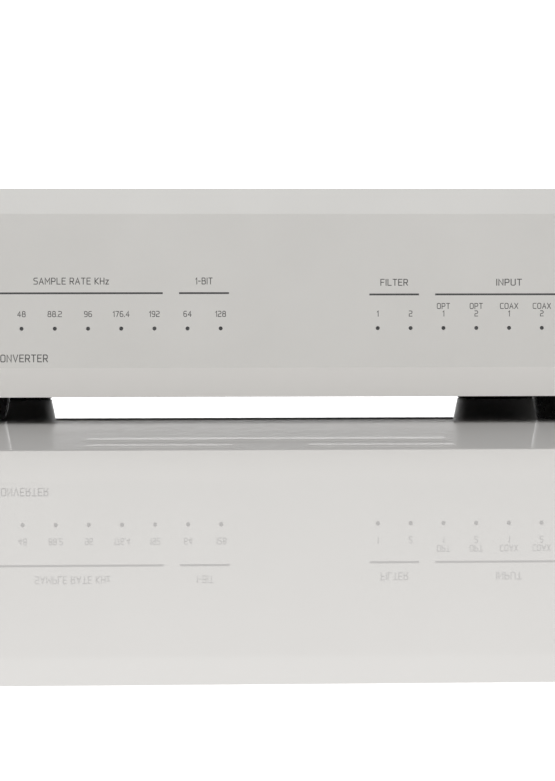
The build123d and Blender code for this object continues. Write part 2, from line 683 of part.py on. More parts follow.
with BuildPart() as voltage_regulators:
    # Moulded body with three legs, on a thin tab that is screwed to the heatsink.
    for regulator_y in REGULATOR_YS:
        with BuildSketch(Plane.YZ.offset(TAB_FACE)):
            with Locations((regulator_y, BOARD_TOP + 11.5)):
                Rectangle(REGULATOR_WIDTH, 15.0)
            with Locations((regulator_y, TAB_HOLE_Z)):
                Circle(1.6, mode=Mode.SUBTRACT)
        extrude(amount=-TAB_THICK)
        with BuildSketch(Plane.YZ.offset(TAB_FACE - TAB_THICK)):
            with Locations((regulator_y, BOARD_TOP + 8.2)):
                Rectangle(REGULATOR_WIDTH, 8.4)
        extrude(amount=-3.2)
        with BuildSketch(level(BOARD_TOP)):
            with Locations((TAB_FACE - 2.6, regulator_y)):
                with GridLocations(0, LEG_PITCH, 1, 3):
                    Rectangle(0.6, 0.8)
        extrude(amount=5.0)
voltage_regulators.part.label = "voltage_regulators"
export_step(voltage_regulators.part, "parts/voltage_regulators.step")

with BuildPart() as regulator_screws:
    for regulator_y in REGULATOR_YS:
        screw_plane = Plane(
            origin=(TAB_FACE - TAB_THICK, regulator_y, TAB_HOLE_Z),
            x_dir=(0, 1, 0),
            z_dir=(-1, 0, 0),
        )
        with BuildSketch(screw_plane):
            Circle(2 * TAB_SCREW)
        extrude(amount=1.7)
        with BuildSketch(screw_plane):
            Circle(TAB_SCREW)
        extrude(amount=-3.6)
regulator_screws.part.label = "regulator_screws"
export_step(regulator_screws.part, "parts/regulator_screws.step")

RELAY_SIZE = (14.0, 7.4, 9.6)
RELAY_PLACES = ((-66.0, 72.0), (-86.0, 72.0))

with BuildPart() as mute_relays:
    with BuildSketch(level(BOARD_TOP)):
        with Locations(*RELAY_PLACES):
            Rectangle(RELAY_SIZE[0], RELAY_SIZE[1])
    extrude(amount=RELAY_SIZE[2])
    fillet(mute_relays.edges().group_by(Axis.Z)[-1], radius=0.5)
mute_relays.part.label = "mute_relays"
export_step(mute_relays.part, "parts/mute_relays.step")

CHOKE_PLACE = (84.0, 66.0)
CHOKE_SIDE = 12.0
CHOKE_HEIGHT = 6.5

with BuildPart() as input_choke:
    with BuildSketch(level(BOARD_TOP)):
        with Locations(CHOKE_PLACE):
            Rectangle(CHOKE_SIDE, CHOKE_SIDE)
            Circle(3.0, mode=Mode.SUBTRACT)
    extrude(amount=CHOKE_HEIGHT)
    fillet(input_choke.edges().filter_by(Axis.Z), radius=1.2)
input_choke.part.label = "input_choke"
export_step(input_choke.part, "parts/input_choke.step")

# ================================================================ ribbon cable
HEADER_SIZE = (22.0, 9.0)
HEADER_DEPTH = 9.0
PLUG_SIZE = (20.0, 6.2)
PLUG_LENGTH = 10.5
DISPLAY_HEADER_Z = 25.0
MAIN_HEADER_Y = -62.0
RIBBON_WIDTH = 18.0
RIBBON_THICK = 0.9
HEADER_FLOOR = 1.4
PLUG_SEAT = 1.6  # a plug stops just above the header's floor

with BuildPart() as ribbon_headers:
    # One shrouded header on each board.
    header_planes = (
        Plane(origin=(0, DISPLAY_BACK, DISPLAY_HEADER_Z), x_dir=(-1, 0, 0), z_dir=(0, 1, 0)),
        Plane(origin=(0, MAIN_HEADER_Y, BOARD_TOP), x_dir=(1, 0, 0), z_dir=(0, 0, 1)),
    )
    for header_plane in header_planes:
        with BuildSketch(header_plane):
            Rectangle(*HEADER_SIZE)
        extrude(amount=HEADER_DEPTH)
        with BuildSketch(header_plane.offset(HEADER_FLOOR)):
            Rectangle(PLUG_SIZE[0] + 0.4, PLUG_SIZE[1] + 0.4)
        extrude(amount=HEADER_DEPTH, mode=Mode.SUBTRACT)
ribbon_headers.part.label = "ribbon_headers"
export_step(ribbon_headers.part, "parts/ribbon_headers.step")

with BuildPart() as ribbon_plugs:
    for header_plane in header_planes:
        with BuildSketch(header_plane.offset(PLUG_SEAT)):
            Rectangle(*PLUG_SIZE)
        extrude(amount=PLUG_LENGTH)
ribbon_plugs.part.label = "ribbon_plugs"
export_step(ribbon_plugs.part, "parts/ribbon_plugs.step")

RIBBON_START_Y = DISPLAY_BACK + PLUG_SEAT + PLUG_LENGTH
RIBBON_END_Z = BOARD_TOP + PLUG_SEAT + PLUG_LENGTH
RIBBON_CREST = 39.0

with BuildPart() as ribbon_cable:
    # Out of the front plug, up, over and down into the rear plug.
    with BuildSketch(Plane.YZ):
        with BuildLine():
            FilletPolyline(
                (RIBBON_START_Y, DISPLAY_HEADER_Z),
                (RIBBON_START_Y + 8.0, DISPLAY_HEADER_Z),
                (RIBBON_START_Y + 8.0, RIBBON_CREST),
                (MAIN_HEADER_Y, RIBBON_CREST),
                (MAIN_HEADER_Y, RIBBON_END_Z),
                radius=4.0,
            )
        trace(line_width=RIBBON_THICK)
    extrude(amount=RIBBON_WIDTH / 2, both=True)
ribbon_cable.part.label = "ribbon_cable"
export_step(ribbon_cable.part, "parts/ribbon_cable.step")

# ================================================================ phono jacks
SLEEVE_OUTER = 4.15
SLEEVE_NECK = 3.85  # where the sleeve passes through its ring and housing
SLEEVE_INNER = 3.3
RING_LIP = 1.1
RING_FLARE = 0.9  # how much wider the lip is than the barrel
INSULATOR_FACE = REAR_FACE + JACK_REACH - 1.2
CONTACT_FACE = REAR_FACE + JACK_REACH - 1.5
CONTACT_OUTER = 1.95
CONTACT_INNER = 1.65
SLEEVE_SEAT = 2.0  # how far each sleeve sits into its housing
JACK_END = REAR_FACE + JACK_REACH
HOUSING_SIZE = (15.0, 12.0, 17.0)

with BuildPart() as jack_housings:
    # One moulded block behind each pair of jacks, bored for the sleeves.
    for pair in ((LINE_LEFT_X, LINE_RIGHT_X), (COAX_1_X, COAX_2_X)):
        with BuildSketch(level(BOARD_TOP)):
            with Locations(((pair[0] + pair[1]) / 2, REAR_INNER - HOUSING_SIZE[1] / 2)):
                Rectangle(abs(pair[0] - pair[1]) + HOUSING_SIZE[0], HOUSING_SIZE[1])
        extrude(amount=HOUSING_SIZE[2])
    fillet(jack_housings.edges().filter_by(Axis.Z), radius=0.8)
    with BuildSketch(upright(REAR_INNER)):
        with Locations(*JACK_PLACES):
            Circle(SLEEVE_NECK + 0.05)
    extrude(amount=SLEEVE_SEAT, mode=Mode.SUBTRACT)
jack_housings.part.label = "jack_housings"
export_step(jack_housings.part, "parts/jack_housings.step")

SLEEVES = {
    "line_sleeve_left": LINE_LEFT_X,
    "line_sleeve_right": LINE_RIGHT_X,
    "coax_sleeve_1": COAX_1_X,
    "coax_sleeve_2": COAX_2_X,
}
for sleeve_name, sleeve_x in SLEEVES.items():
    with BuildPart() as sleeve:
        with BuildSketch(upright(JACK_END)):
            with Locations((sleeve_x, JACK_Z)):
                Circle(SLEEVE_OUTER)
        extrude(amount=JACK_END - REAR_FACE - RING_LIP)
        chamfer(sleeve.edges().group_by(Axis.Y)[-1], length=0.35)
        with BuildSketch(upright(REAR_FACE + RING_LIP)):
            with Locations((sleeve_x, JACK_Z)):
                Circle(SLEEVE_NECK)
        extrude(amount=SHEET + RING_LIP + SLEEVE_SEAT)
        with BuildSketch(upright(JACK_END)):
            with Locations((sleeve_x, JACK_Z)):
                Circle(SLEEVE_INNER)
        extrude(amount=JACK_END - REAR_INNER + SLEEVE_SEAT, mode=Mode.SUBTRACT)
    sleeve.part.label = sleeve_name
    export_step(sleeve.part, f"parts/{sleeve_name}.step")

RINGS = {
    "jack_ring_left": (LINE_LEFT_X,),
    "jack_ring_right": (LINE_RIGHT_X,),
    "jack_rings_coax": (COAX_1_X, COAX_2_X),
}
for ring_name, ring_xs in RINGS.items():
    ring_places = [(x, JACK_Z) for x in ring_xs]
    with BuildPart() as ring:
        # Insulating collar: a barrel through the rear panel with a lip outside it.
        with BuildSketch(upright(REAR_INNER)):
            with Locations(*ring_places):
                Circle(RING_BARREL)
        extrude(amount=-SHEET)
        with BuildSketch(upright(REAR_FACE)):
            with Locations(*ring_places):
                Circle(RING_BARREL + RING_FLARE)
        extrude(amount=-RING_LIP)
        fillet(ring.edges().group_by(Axis.Y)[-1], radius=0.4)
        with BuildSketch(upright(REAR_INNER)):
            with Locations(*ring_places):
                Circle(SLEEVE_NECK + 0.05)
        extrude(amount=-(SHEET + RING_LIP), mode=Mode.SUBTRACT)
    ring.part.label = ring_name
    export_step(ring.part, f"parts/{ring_name}.step")

with BuildPart() as jack_insulators:
    with BuildSketch(upright(INSULATOR_FACE)):
        with Locations(*JACK_PLACES):
            Circle(SLEEVE_INNER - 0.05)
            Circle(CONTACT_OUTER + 0.05, mode=Mode.SUBTRACT)
    extrude(amount=INSULATOR_FACE - REAR_INNER + SLEEVE_SEAT)
jack_insulators.part.label = "jack_insulators"
export_step(jack_insulators.part, "parts/jack_insulators.step")

with BuildPart() as jack_contacts:
    with BuildSketch(upright(CONTACT_FACE)):
        with Locations(*JACK_PLACES):
            Circle(CONTACT_OUTER)
            Circle(CONTACT_INNER, mode=Mode.SUBTRACT)
    extrude(amount=CONTACT_FACE - REAR_INNER + SLEEVE_SEAT)
jack_contacts.part.label = "jack_contacts"
export_step(jack_contacts.part, "parts/jack_contacts.step")

# ================================================================ optical sockets
OPTICAL_FACE = REAR_FACE + 0.4
OPTICAL_DEPTH = 14.0
PORT_SIDE = 8.6
PORT_Z = BOARD_TOP + 6.5
PORT_DEPTH = 10.4
PORT_TOP = PORT_Z + PORT_SIDE / 2
SHUTTER_THICK = 0.6
SHUTTER_GAP = 0.3
HINGE_Y = OPTICAL_FACE - 1.0
HINGE_Z = PORT_TOP + 0.7
HINGE_RADIUS = 0.5
HINGE_HALF = 5.3
HINGE_CLEARANCE = 0.06
LINTEL = 0.4  # thickness of the lip that hides the hinge
TIP_BORE = (2.6, 2.5)  # radius, depth behind the square port
PIVOT_PLAY = 0.15  # end play of the hinge pin on each side

for number, socket_x in (("1", OPTICAL_1_X), ("2", OPTICAL_2_X)):
    with BuildPart() as optical_socket:
        with BuildSketch(upright(OPTICAL_FACE)):
            with Locations((socket_x, OPTICAL_Z)):
                Rectangle(*OPTICAL_SIZE)
            fillet(vertices(), radius=0.5)
        extrude(amount=OPTICAL_DEPTH)
        # Square port, then the round bore for the tip of the plug.
        with BuildSketch(upright(OPTICAL_FACE)):
            with Locations((socket_x, PORT_Z)):
                Rectangle(PORT_SIDE, PORT_SIDE)
        extrude(amount=PORT_DEPTH, mode=Mode.SUBTRACT)
        with BuildSketch(upright(OPTICAL_FACE)):
            with Locations((socket_x, PORT_Z)):
                Circle(TIP_BORE[0])
        extrude(amount=PORT_DEPTH + TIP_BORE[1], mode=Mode.SUBTRACT)
        # Roof pocket where the shutter lies when it is pushed open.
        with BuildSketch(upright(OPTICAL_FACE - LINTEL)):
            with Locations((socket_x, HINGE_Z)):
                Rectangle(PORT_SIDE, 1.6)
        extrude(amount=PORT_DEPTH - LINTEL, mode=Mode.SUBTRACT)
        # Pivot holes in both side walls.
        with BuildSketch(Plane.YZ.offset(socket_x - HINGE_HALF - PIVOT_PLAY)):
            with Locations((HINGE_Y, HINGE_Z)):
                Circle(HINGE_RADIUS + HINGE_CLEARANCE)
        extrude(amount=2 * (HINGE_HALF + PIVOT_PLAY), mode=Mode.SUBTRACT)
    optical_socket.part.label = f"optical_socket_{number}"
    export_step(optical_socket.part, f"parts/optical_socket_{number}.step")

    with BuildPart() as shutter:
        # Thin flap that hangs from a pin across the top of the port.
        with BuildSketch(upright(HINGE_Y + SHUTTER_THICK / 2)):
            with Locations((socket_x, (PORT_Z - PORT_SIDE / 2 + SHUTTER_GAP + HINGE_Z) / 2)):
                Rectangle(
                    PORT_SIDE - 2 * SHUTTER_GAP,
                    HINGE_Z - PORT_Z + PORT_SIDE / 2 - SHUTTER_GAP,
                )
        extrude(amount=SHUTTER_THICK)
        with BuildSketch(Plane.YZ.offset(socket_x - HINGE_HALF)):
            with Locations((HINGE_Y, HINGE_Z)):
                Circle(HINGE_RADIUS)
        extrude(amount=2 * HINGE_HALF)
    shutter.part.label = f"optical_shutter_{number}"
    export_step(shutter.part, f"parts/optical_shutter_{number}.step")

# ================================================================ computer socket
USB_FACE = REAR_FACE + 0.3
USB_DEPTH = 16.0
USB_WALL = 0.4
USB_PORT = (8.6, 8.0)
USB_BEVEL = 1.6
USB_PORT_DEPTH = 10.5
USB_TONGUE = (5.6, 3.2)
USB_FRONT = USB_FACE - USB_WALL - 0.05  # front of the moulding inside the can

with BuildPart() as usb_shell:
    # Folded metal can, closed at the face except for the port.
    with BuildSketch(upright(USB_FACE)):
        with Locations((USB_X, USB_Z)):
            Rectangle(*USB_SIZE)
        fillet(vertices(), radius=0.6)
    extrude(amount=USB_DEPTH)
    with BuildSketch(upright(USB_FACE - USB_WALL)):
        with Locations((USB_X, USB_Z)):
            Rectangle(USB_SIZE[0] - 2 * USB_WALL, USB_SIZE[1] - 2 * USB_WALL)
    extrude(amount=USB_DEPTH, mode=Mode.SUBTRACT)
    with BuildSketch(upright(USB_FACE)):
        with Locations((USB_X, USB_Z)):
            Rectangle(*USB_PORT)
        chamfer(vertices().group_by(Axis.Y)[-1], length=USB_BEVEL)
    extrude(amount=USB_WALL, mode=Mode.SUBTRACT)
usb_shell.part.label = "usb_shell"
export_step(usb_shell.part, "parts/usb_shell.step")

with BuildPart() as usb_insert:
    # Moulding inside the can: port walls with the contact tongue in the middle.
    with BuildSketch(upright(USB_FRONT)):
        with Locations((USB_X, USB_Z)):
            Rectangle(USB_SIZE[0] - 2 * USB_WALL - 0.1, USB_SIZE[1] - 2 * USB_WALL - 0.1)
    extrude(amount=USB_DEPTH - 1.0)
    with BuildSketch(upright(USB_FRONT)):
        with Locations((USB_X, USB_Z)):
            Rectangle(*USB_PORT)
        chamfer(vertices().group_by(Axis.Y)[-1], length=USB_BEVEL)
    extrude(amount=USB_PORT_DEPTH, mode=Mode.SUBTRACT)
    with BuildSketch(upright(USB_FRONT - USB_PORT_DEPTH)):
        with Locations((USB_X, USB_Z)):
            Rectangle(*USB_TONGUE)
    extrude(amount=-(USB_PORT_DEPTH - 1.6))
usb_insert.part.label = "usb_insert"
export_step(usb_insert.part, "parts/usb_insert.step")

# ================================================================ power inlet
DC_FACE = REAR_FACE + 0.3
DC_DEPTH = 14.0
DC_BORE = 3.1
DC_BORE_DEPTH = 9.5
DC_PIN = 1.0
DC_PIN_FACE = DC_FACE - 1.2

with BuildPart() as dc_inlet_body:
    with BuildSketch(upright(DC_FACE)):
        with Locations((DC_X, DC_Z)):
            Rectangle(*DC_SIZE)
        fillet(vertices(), radius=0.6)
    extrude(amount=DC_DEPTH)
    with BuildSketch(upright(DC_FACE)):
        with Locations((DC_X, DC_Z)):
            Circle(DC_BORE)
    extrude(amount=DC_BORE_DEPTH, mode=Mode.SUBTRACT)
    with BuildSketch(upright(DC_FACE)):
        with Locations((DC_X, DC_Z)):
            Circle(DC_PIN + 0.02)
    extrude(amount=DC_BORE_DEPTH + 2.0, mode=Mode.SUBTRACT)
dc_inlet_body.part.label = "dc_inlet_body"
export_step(dc_inlet_body.part, "parts/dc_inlet_body.step")

with BuildPart() as dc_inlet_pin:
    with BuildSketch(upright(DC_PIN_FACE)):
        with Locations((DC_X, DC_Z)):
            Circle(DC_PIN)
    extrude(amount=DC_BORE_DEPTH + 0.8)
    fillet(dc_inlet_pin.edges().group_by(Axis.Y)[-1], radius=0.4)
dc_inlet_pin.part.label = "dc_inlet_pin"
export_step(dc_inlet_pin.part, "parts/dc_inlet_pin.step")
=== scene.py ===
import json
import math

import bmesh
import bpy
from mathutils import Matrix, Vector


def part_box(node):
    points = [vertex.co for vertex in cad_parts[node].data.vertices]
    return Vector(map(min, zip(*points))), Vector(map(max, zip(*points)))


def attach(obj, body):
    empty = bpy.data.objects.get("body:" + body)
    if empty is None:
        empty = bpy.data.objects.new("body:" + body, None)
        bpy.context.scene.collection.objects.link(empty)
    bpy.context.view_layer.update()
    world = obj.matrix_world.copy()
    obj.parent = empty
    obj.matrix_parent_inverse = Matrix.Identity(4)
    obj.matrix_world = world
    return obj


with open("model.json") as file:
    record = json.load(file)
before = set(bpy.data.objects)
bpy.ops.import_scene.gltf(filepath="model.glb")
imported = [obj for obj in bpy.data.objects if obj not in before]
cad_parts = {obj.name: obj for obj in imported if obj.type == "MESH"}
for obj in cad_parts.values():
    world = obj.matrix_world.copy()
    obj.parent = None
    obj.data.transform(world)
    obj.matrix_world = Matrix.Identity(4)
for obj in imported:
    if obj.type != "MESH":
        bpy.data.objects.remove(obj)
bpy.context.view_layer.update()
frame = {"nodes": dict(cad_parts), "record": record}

# Looks for a low desktop converter: satin aluminium front, black painted case, black feet.
# Metres. The front faces -Y, +X is to the right seen from the front, +Z is up.

MM = 0.001
FRONT_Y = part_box("front_panel")[0].y
REAR_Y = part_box("rear_panel")[1].y


# ---------------------------------------------------------------- material helpers
NOISE_LOW = 0.3  # noise hardly ever leaves this range
NOISE_HIGH = 0.7


class Surface:
    """A node material with short calls for the patterns that the materials share."""

    def __init__(self, name, colour, roughness, metallic=0.0, **sockets):
        self.material = bpy.data.materials.new(name)
        self.material.use_nodes = True
        self.tree = self.material.node_tree
        self.shader = self.tree.nodes["Principled BSDF"]
        self.shader.inputs["Base Color"].default_value = (*colour, 1.0)
        self.shader.inputs["Roughness"].default_value = roughness
        self.shader.inputs["Metallic"].default_value = metallic
        for socket, value in sockets.items():
            self.shader.inputs[socket].default_value = value

    def node(self, kind, **settings):
        made = self.tree.nodes.new(kind)
        for key, value in settings.items():
            setattr(made, key, value)
        return made

    def link(self, output, socket):
        self.tree.links.new(output, socket)

    def place(self, stretch=(1.0, 1.0, 1.0)):
        """Object coordinates in metres, stretched per axis."""
        where = self.node("ShaderNodeTexCoord")
        mapping = self.node("ShaderNodeMapping")
        mapping.inputs["Scale"].default_value = stretch
        self.link(where.outputs["Object"], mapping.inputs["Vector"])
        return mapping.outputs["Vector"]

    def noise(self, scale, detail, stretch=(1.0, 1.0, 1.0)):
        """Noise with about `scale` features to the metre."""
        made = self.node("ShaderNodeTexNoise")
        made.inputs["Scale"].default_value = scale
        made.inputs["Detail"].default_value = detail
        self.link(self.place(stretch), made.inputs["Vector"])
        return made.outputs["Fac"]

    def spread(self, factor, low, high, low_at=NOISE_LOW, high_at=NOISE_HIGH):
        """Maps a factor to a range of values."""
        made = self.node("ShaderNodeMapRange")
        made.inputs["From Min"].default_value = low_at
        made.inputs["From Max"].default_value = high_at
        made.inputs["To Min"].default_value = low
        made.inputs["To Max"].default_value = high
        self.link(factor, made.inputs["Value"])
        return made.outputs["Result"]

    def tint(self, factor, dark, light):
        """Colours the surface between two tones by a factor, and gives that colour back."""
        ramp = self.node("ShaderNodeValToRGB")
        low, high = ramp.color_ramp.elements
        low.position, high.position = NOISE_LOW, NOISE_HIGH
        low.color, high.color = (*dark, 1.0), (*light, 1.0)
        self.link(factor, ramp.inputs["Fac"])
        self.link(ramp.outputs["Color"], self.shader.inputs["Base Color"])
        return ramp.outputs["Color"]

    def rough(self, factor, low, high):
        """Varies the roughness between two values by a factor."""
        self.link(self.spread(factor, low, high), self.shader.inputs["Roughness"])

    def bump(self, factor, depth, strength):
        """Raises the surface by `depth` metres times the factor."""
        made = self.node("ShaderNodeBump")
        made.inputs["Strength"].default_value = strength
        made.inputs["Distance"].default_value = depth
        self.link(factor, made.inputs["Height"])
        self.link(made.outputs["Normal"], self.shader.inputs["Normal"])


# Painted highlight: the lighter base colour given to surfaces that face down.
PAINTED_BEVEL_LIGHT = (0.945, 0.94, 0.925, 1.0)
PAINTED_LIGHT_FULL_BELOW = -0.2  # Z of the surface's normal: painted highlight in full below this
PAINTED_LIGHT_NONE_ABOVE = -0.08  # and no painted highlight above this


def anodised_aluminium():
    """Bead-blasted and anodised: a very fine grain, a slightly cloudy tone, and a painted highlight on
    surfaces that face down.
    """
    made = Surface("anodised_aluminium", (0.8, 0.79, 0.765), metallic=1.0, roughness=0.4)
    blasted = made.tint(made.noise(38.0, 3.0), (0.785, 0.775, 0.75), (0.815, 0.805, 0.78))
    # Painted light: surfaces that face down by more than a few degrees, such as the lower bevel, get a
    # brighter base colour that stands in for the lit floor they reflect.
    where = made.node("ShaderNodeNewGeometry")
    parts = made.node("ShaderNodeSeparateXYZ")
    made.link(where.outputs["Normal"], parts.inputs["Vector"])
    painted_light_share = made.spread(parts.outputs["Z"], 1.0, 0.0, PAINTED_LIGHT_FULL_BELOW, PAINTED_LIGHT_NONE_ABOVE)
    blend = made.node("ShaderNodeMixRGB")
    blend.inputs["Color2"].default_value = PAINTED_BEVEL_LIGHT
    made.link(painted_light_share, blend.inputs["Fac"])
    made.link(blasted, blend.inputs["Color1"])
    made.link(blend.outputs["Color"], made.shader.inputs["Base Color"])
    made.rough(made.noise(2600.0, 3.0), 0.37, 0.45)
    made.bump(made.noise(5200.0, 2.0), 0.000012, 0.5)
    return made.material


def black_paint(name, roughness, grain, depth, strength):
    """Powder coat over steel: an orange peel of `grain` bumps to the metre over black."""
    made = Surface(name, (0.016, 0.016, 0.017), roughness=roughness)
    made.tint(made.noise(60.0, 3.0), (0.014, 0.014, 0.015), (0.019, 0.019, 0.02))
    made.rough(made.noise(900.0, 2.0), roughness - 0.03, roughness + 0.03)
    made.bump(made.noise(grain, 2.0), depth, strength)
    return made.material


def foot_rubber():
    """Hard moulded rubber with a satin skin and a little dust in the tone."""
    made = Surface("foot_rubber", (0.012, 0.012, 0.011), roughness=0.3)
    made.tint(made.noise(150.0, 4.0), (0.009, 0.009, 0.008), (0.017, 0.016, 0.015))
    made.rough(made.noise(700.0, 3.0), 0.24, 0.34)
    made.bump(made.noise(2400.0, 2.0), 0.00002, 0.3)
    return made.material


def plain_plastic(name, dark, light, roughness):
    """Moulded plastic with a spark-eroded grain."""
    made = Surface(name, light, roughness=roughness)
    made.tint(made.noise(220.0, 3.0), dark, light)
    made.rough(made.noise(1300.0, 2.0), roughness - 0.06, roughness + 0.06)
    made.bump(made.noise(3200.0, 2.0), 0.00002, 0.4)
    return made.material


def plated_metal(name, dark, light, roughness, grain=(1.0, 1.0, 1.0)):
    """Plated metal; `grain` stretches its pattern per axis into fine drawn lines."""
    made = Surface(name, light, metallic=1.0, roughness=roughness)
    made.tint(made.noise(420.0, 3.0), dark, light)
    made.rough(made.noise(2200.0, 2.0, stretch=grain), roughness - 0.07, roughness + 0.08)
    made.bump(made.noise(4200.0, 2.0, stretch=grain), 0.00001, 0.4)
    return made.material


def clear_acrylic():
    """Moulded light guide, clear but for a little haze."""
    made = Surface("clear_acrylic", (0.62, 0.64, 0.66), roughness=0.12, IOR=1.49)
    made.shader.inputs["Transmission Weight"].default_value = 0.85
    made.tint(made.noise(300.0, 2.0), (0.5, 0.52, 0.54), (0.66, 0.68, 0.7))
    made.rough(made.noise(900.0, 2.0), 0.08, 0.2)
    return made.material


def circuit_board():
    """Green solder mask over copper tracks and a ground fill."""
    made = Surface("circuit_board", (0.01, 0.09, 0.03), roughness=0.32)
    tracks = made.node("ShaderNodeTexBrick")
    tracks.inputs["Scale"].default_value = 120.0
    tracks.inputs["Mortar Size"].default_value = 0.03
    tracks.inputs["Color1"].default_value = (0.008, 0.085, 0.03, 1.0)
    tracks.inputs["Color2"].default_value = (0.01, 0.1, 0.036, 1.0)
    tracks.inputs["Mortar"].default_value = (0.02, 0.17, 0.06, 1.0)
    made.link(made.place(), tracks.inputs["Vector"])
    made.link(tracks.outputs["Color"], made.shader.inputs["Base Color"])
    made.bump(tracks.outputs["Fac"], 0.00003, 0.3)
    made.rough(made.noise(500.0, 2.0), 0.25, 0.38)
    return made.material


def ribbed_ribbon():
    """Flat cable: grey insulation with a rib over each wire."""
    made = Surface("ribbon", (0.4, 0.4, 0.41), roughness=0.45)
    wires = made.node("ShaderNodeTexWave", wave_type="BANDS", bands_direction="X")
    wires.inputs["Scale"].default_value = 125.0
    made.link(made.place(), wires.inputs["Vector"])
    made.tint(wires.outputs["Fac"], (0.3, 0.3, 0.31), (0.45, 0.45, 0.46))
    made.bump(wires.outputs["Fac"], 0.0002, 0.8)
    return made.material


def ink(name, colour):
    """Screen-printed ink, a little broken by the grain beneath it."""
    made = Surface(name, colour, roughness=0.5)
    lighter = tuple(min(1.0, c * 1.25 + 0.01) for c in colour)
    made.tint(made.noise(2600.0, 2.0), colour, lighter)
    made.bump(made.noise(4200.0, 2.0), 0.00001, 0.3)
    return made.material


def grey(tone):
    return (tone, tone, tone)


# One finish for each material slot of the record.
FINISHES = {
    "anodised_aluminium": anodised_aluminium(),
    "black_paint": black_paint("black_paint", 0.28, 1500.0, 0.000006, 0.25),
    "foot_rubber": foot_rubber(),
    "zinc_steel": plated_metal("zinc_steel", grey(0.52), (0.66, 0.66, 0.65), 0.3),
    "black_screw": plated_metal("black_screw", grey(0.02), grey(0.05), 0.36),
    "black_plastic": plain_plastic("black_plastic", grey(0.014), grey(0.022), 0.42),
    "white_plastic": plain_plastic("white_plastic", (0.7, 0.7, 0.67), (0.8, 0.8, 0.77), 0.38),
    "red_plastic": plain_plastic("red_plastic", (0.42, 0.012, 0.012), (0.52, 0.02, 0.018), 0.3),
    "clear_acrylic": clear_acrylic(),
    "circuit_board": circuit_board(),
    "nickel_brass": plated_metal("nickel_brass", (0.6, 0.58, 0.52), (0.72, 0.7, 0.64), 0.24),
    "gold_plate": plated_metal("gold_plate", (0.8, 0.52, 0.2), (0.9, 0.62, 0.26), 0.2, (1.0, 6.0, 1.0)),
    "capacitor_sleeve": plain_plastic("capacitor_sleeve", (0.01, 0.01, 0.03), (0.02, 0.02, 0.05), 0.35),
    "film_capacitor": plain_plastic("film_capacitor", (0.4, 0.03, 0.02), (0.5, 0.05, 0.03), 0.34),
    "tin_can": plated_metal("tin_can", (0.6, 0.6, 0.59), (0.74, 0.74, 0.73), 0.26, (1.0, 5.0, 1.0)),
    "black_aluminium": plated_metal("black_aluminium", grey(0.02), grey(0.04), 0.4),
    "ferrite": plain_plastic("ferrite", grey(0.03), grey(0.06), 0.6),
    "ribbon": ribbed_ribbon(),
}
DARK_INK = ink("dark_ink", (0.065, 0.065, 0.067))
PALE_INK = ink("pale_ink", (0.62, 0.62, 0.6))
TEXTURED_PAINT = black_paint("textured_paint", 0.62, 1900.0, 0.00003, 0.5)
BRIGHT_ZINC = plated_metal("bright_zinc", (0.8, 0.8, 0.79), (0.88, 0.88, 0.87), 0.21)
# Nodes with a finish of their own instead of their slot's.
OWN_FINISHES = {
    "floor_strips": BRIGHT_ZINC,
    "top_cover": TEXTURED_PAINT,
    "rear_panel": TEXTURED_PAINT,
}

for part in frame["record"]["subparts"]:
    finish = OWN_FINISHES.get(part["node"], FINISHES[part["material_slot"]])
    materials = frame["nodes"][part["node"]].data.materials
    materials.clear()
    materials.append(finish)


# ---------------------------------------------------------------- printing
INK_THICK = 0.012 * MM
INK_SINK = 0.004 * MM
LINE_WIDTH = 0.42 * MM

